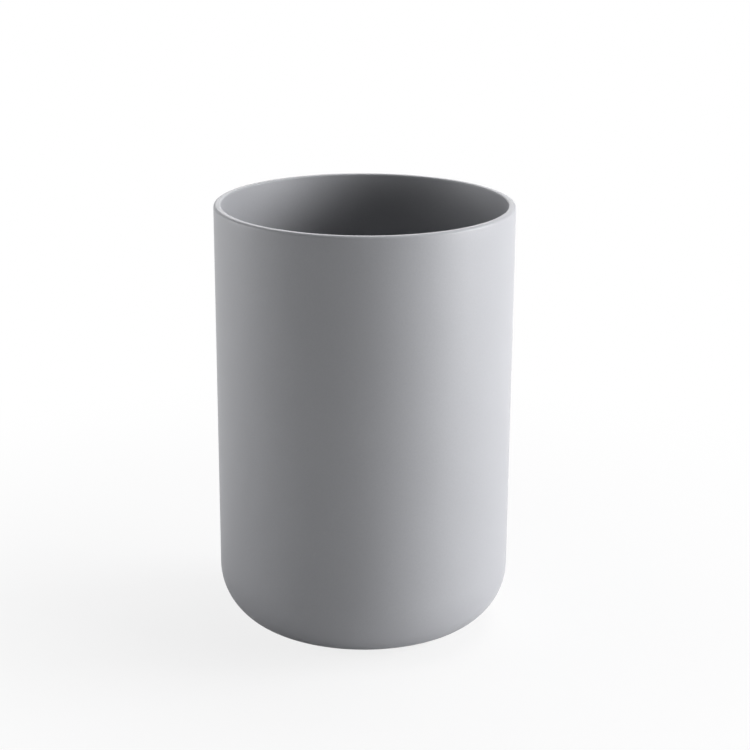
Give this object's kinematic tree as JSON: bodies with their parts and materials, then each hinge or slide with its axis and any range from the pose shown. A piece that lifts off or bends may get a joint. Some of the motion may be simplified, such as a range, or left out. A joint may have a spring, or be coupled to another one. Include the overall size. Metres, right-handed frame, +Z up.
{
  "type": "bathroom tumbler",
  "caption": "Plain round matt tumbler with a slightly drafted thin wall, a softly rounded lip and a large rounded foot corner, standing on a soft non-slip ring keyed into its underside.",
  "frame": {"origin": "on the cup's axis, on the plane that the non-slip ring stands on", "axes": "+Z up along the cup's axis of revolution, from the foot to the rim; the cup is the same all round, so +X and +Y are free"},
  "size_m": [0.074, 0.074, 0.1081],
  "materials": {
    "moulded_body": "matt soft-touch coat on a moulded cup, neutral mid grey",
    "soft_ring": "matt moulded thermoplastic elastomer, dark grey"
  },
  "bodies": {
    "root": {"cup_body": "moulded_body", "non_slip_ring": "soft_ring"}
  },
  "joints": []
}
